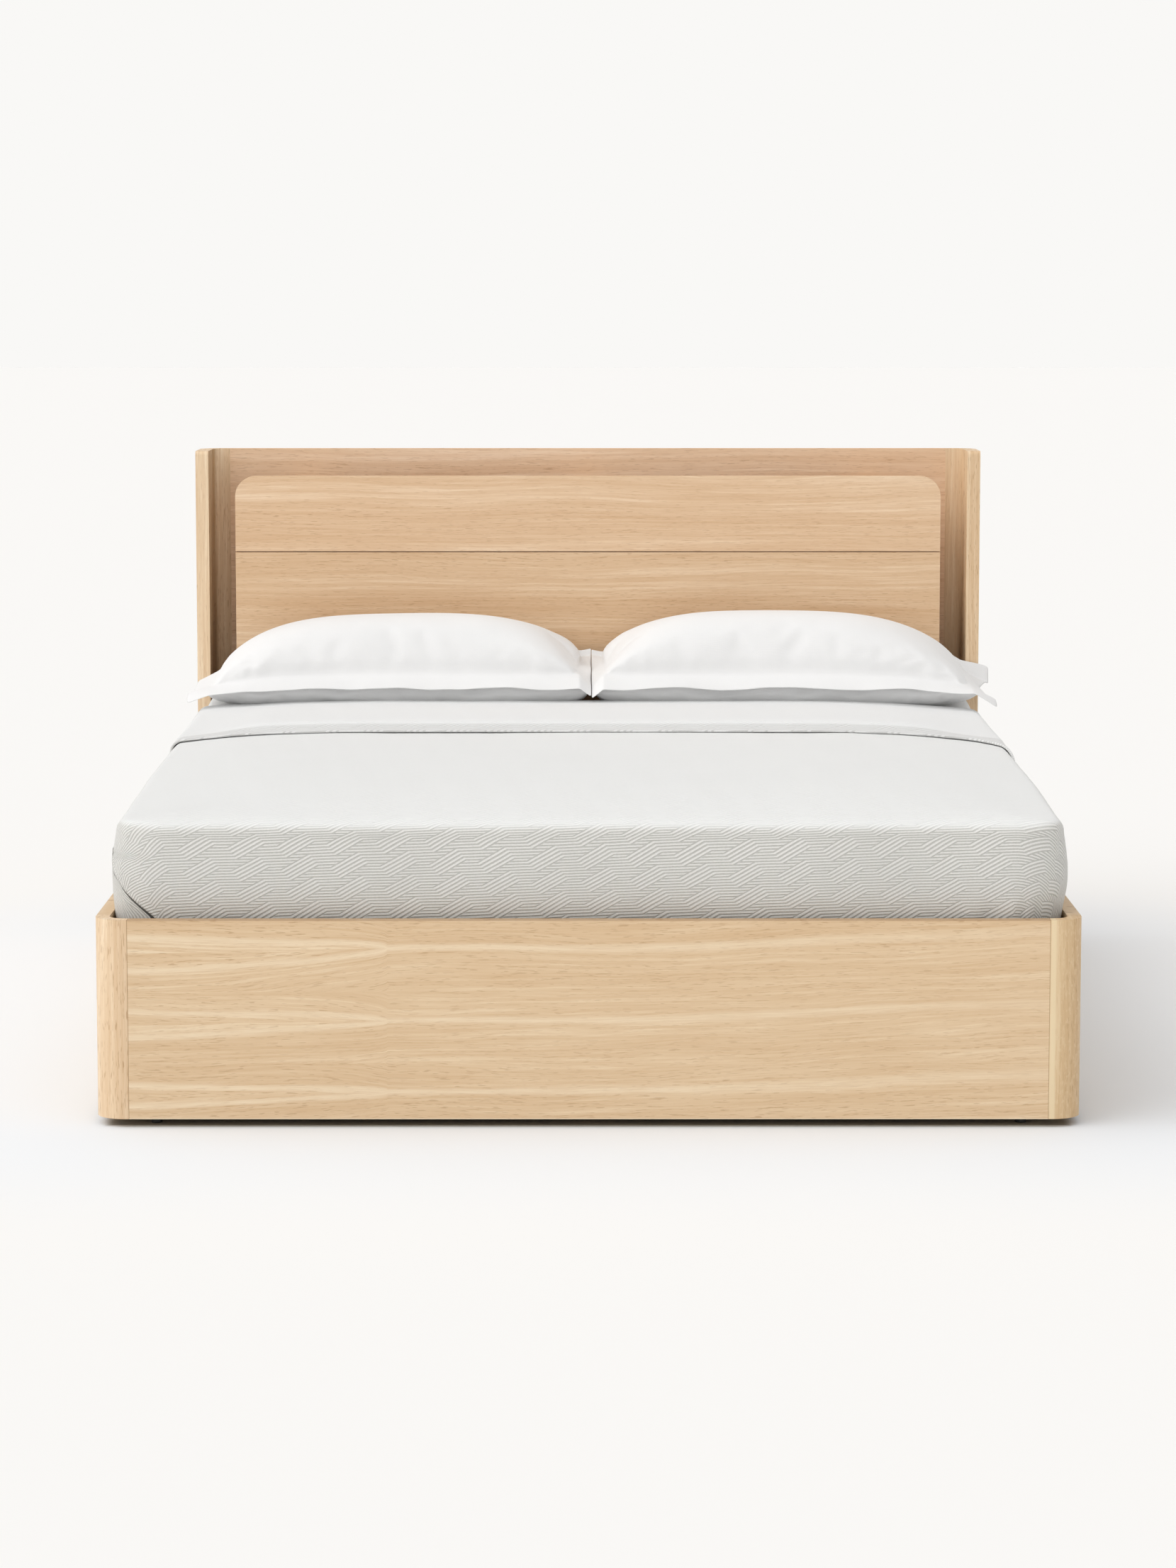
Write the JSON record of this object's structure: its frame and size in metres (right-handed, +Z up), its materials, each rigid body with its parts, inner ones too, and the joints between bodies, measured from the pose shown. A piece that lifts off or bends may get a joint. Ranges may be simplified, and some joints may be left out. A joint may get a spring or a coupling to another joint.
{
  "type": "storage bed",
  "caption": "Double storage bed of light oak veneer: deep box with rounded corners, slatted platform that lifts on gas springs, winged headboard, mattress and bedding.",
  "frame": {"origin": "middle of the bed on the floor, halfway between the foot panel's face and the back of the headboard", "axes": "+X to the bed's right seen from the foot, +Y from the foot to the headboard, +Z up"},
  "size_m": [1.7, 2.222, 1.08],
  "materials": {
    "oak_horizontal": "matte",
    "oak_vertical": "matte",
    "inner_wood": "matte",
    "floor_board": "matte",
    "birch_slat": "satin",
    "zinc_steel": "satin",
    "rod_steel": "polished",
    "black_steel": "satin",
    "black_plastic": "matte",
    "pad_rubber": "matte",
    "white_sheet": "matte",
    "woven_coverlet": "matte",
    "white_cotton": "matte"
  },
  "bodies": {
    "root": {"foot_panel": "oak_horizontal", "foot_post_left": "oak_vertical", "foot_post_right": "oak_vertical", "side_rail_left": "oak_horizontal", "side_rail_right": "oak_horizontal", "corner_blocks": "inner_wood", "rail_plates": "zinc_steel", "frame_screws": "zinc_steel", "glides": "black_plastic", "foot_ledge": "inner_wood", "rest_pads": "pad_rubber", "floor_battens": "inner_wood", "centre_beam": "inner_wood", "beam_feet": "black_plastic", "floor_panel_left": "floor_board", "floor_panel_right": "floor_board", "head_rail": "inner_wood", "head_angles": "zinc_steel", "back_panel": "oak_horizontal", "wing_left": "oak_vertical", "wing_right": "oak_vertical", "front_board_upper": "oak_horizontal", "front_board_lower": "oak_horizontal", "board_uprights": "inner_wood", "base_plate_left": "black_steel", "base_plate_right": "black_steel", "base_pins": "zinc_steel"},
    "rear_arms": {"rear_arm_left": "black_steel", "rear_arm_right": "black_steel"},
    "front_arms": {"front_arm_left": "black_steel", "front_arm_right": "black_steel"},
    "gas_cylinders": {"gas_cylinder_left": "black_steel", "gas_cylinder_right": "black_steel"},
    "gas_rods": {"gas_rod_left": "rod_steel", "gas_rod_right": "rod_steel"},
    "platform": {"platform_bracket_left": "black_steel", "platform_bracket_right": "black_steel", "platform_pins": "zinc_steel", "side_tube_left": "black_steel", "side_tube_right": "black_steel", "head_tube": "black_steel", "foot_tube": "black_steel", "centre_tube": "black_steel", "tube_plugs": "black_plastic", "slats_left": "birch_slat", "slats_right": "birch_slat", "slat_caps_left": "black_plastic", "slat_caps_right": "black_plastic", "slat_caps_centre": "black_plastic", "mattress": "white_sheet", "coverlet": "woven_coverlet", "turn_down": "woven_coverlet", "pillow_left": "white_cotton", "pillow_right": "white_cotton"}
  },
  "joints": [
    {"name": "lift", "type": "hinge", "parent": "root", "child": "rear_arms", "pos_m": [0, 0.18211, 0.17042], "axis": [1, 0, 0], "range_deg": [0, 60]},
    {"name": "platform_tilt", "type": "hinge", "parent": "rear_arms", "child": "platform", "pos_m": [0, 0.454, 0.2972], "axis": [1, 0, 0], "range_deg": [-90, 0]},
    {"name": "front_arm_turn", "type": "hinge", "parent": "root", "child": "front_arms", "pos_m": [0, -0.01688, 0.10519], "axis": [1, 0, 0], "range_deg": [0, 45.65]},
    {"name": "gas_spring_swing", "type": "hinge", "parent": "root", "child": "gas_cylinders", "pos_m": [0, 0.45211, 0.07], "axis": [1, 0, 0], "range_deg": [-6.52, 0]},
    {"name": "gas_spring_stroke", "type": "slide", "parent": "gas_cylinders", "child": "gas_rods", "axis": [0, -0.9235, 0.3836], "range_m": [0, 0.14906]}
  ],
  "couplings": [
    {"joint": "platform_tilt", "follows": "lift", "ratio": -1.5},
    {"joint": "front_arm_turn", "follows": "lift", "ratio": 0.76079},
    {"joint": "gas_spring_swing", "follows": "lift", "ratio": -0.10865},
    {"joint": "gas_spring_stroke", "follows": "lift", "m_per_rad": 0.14235}
  ]
}
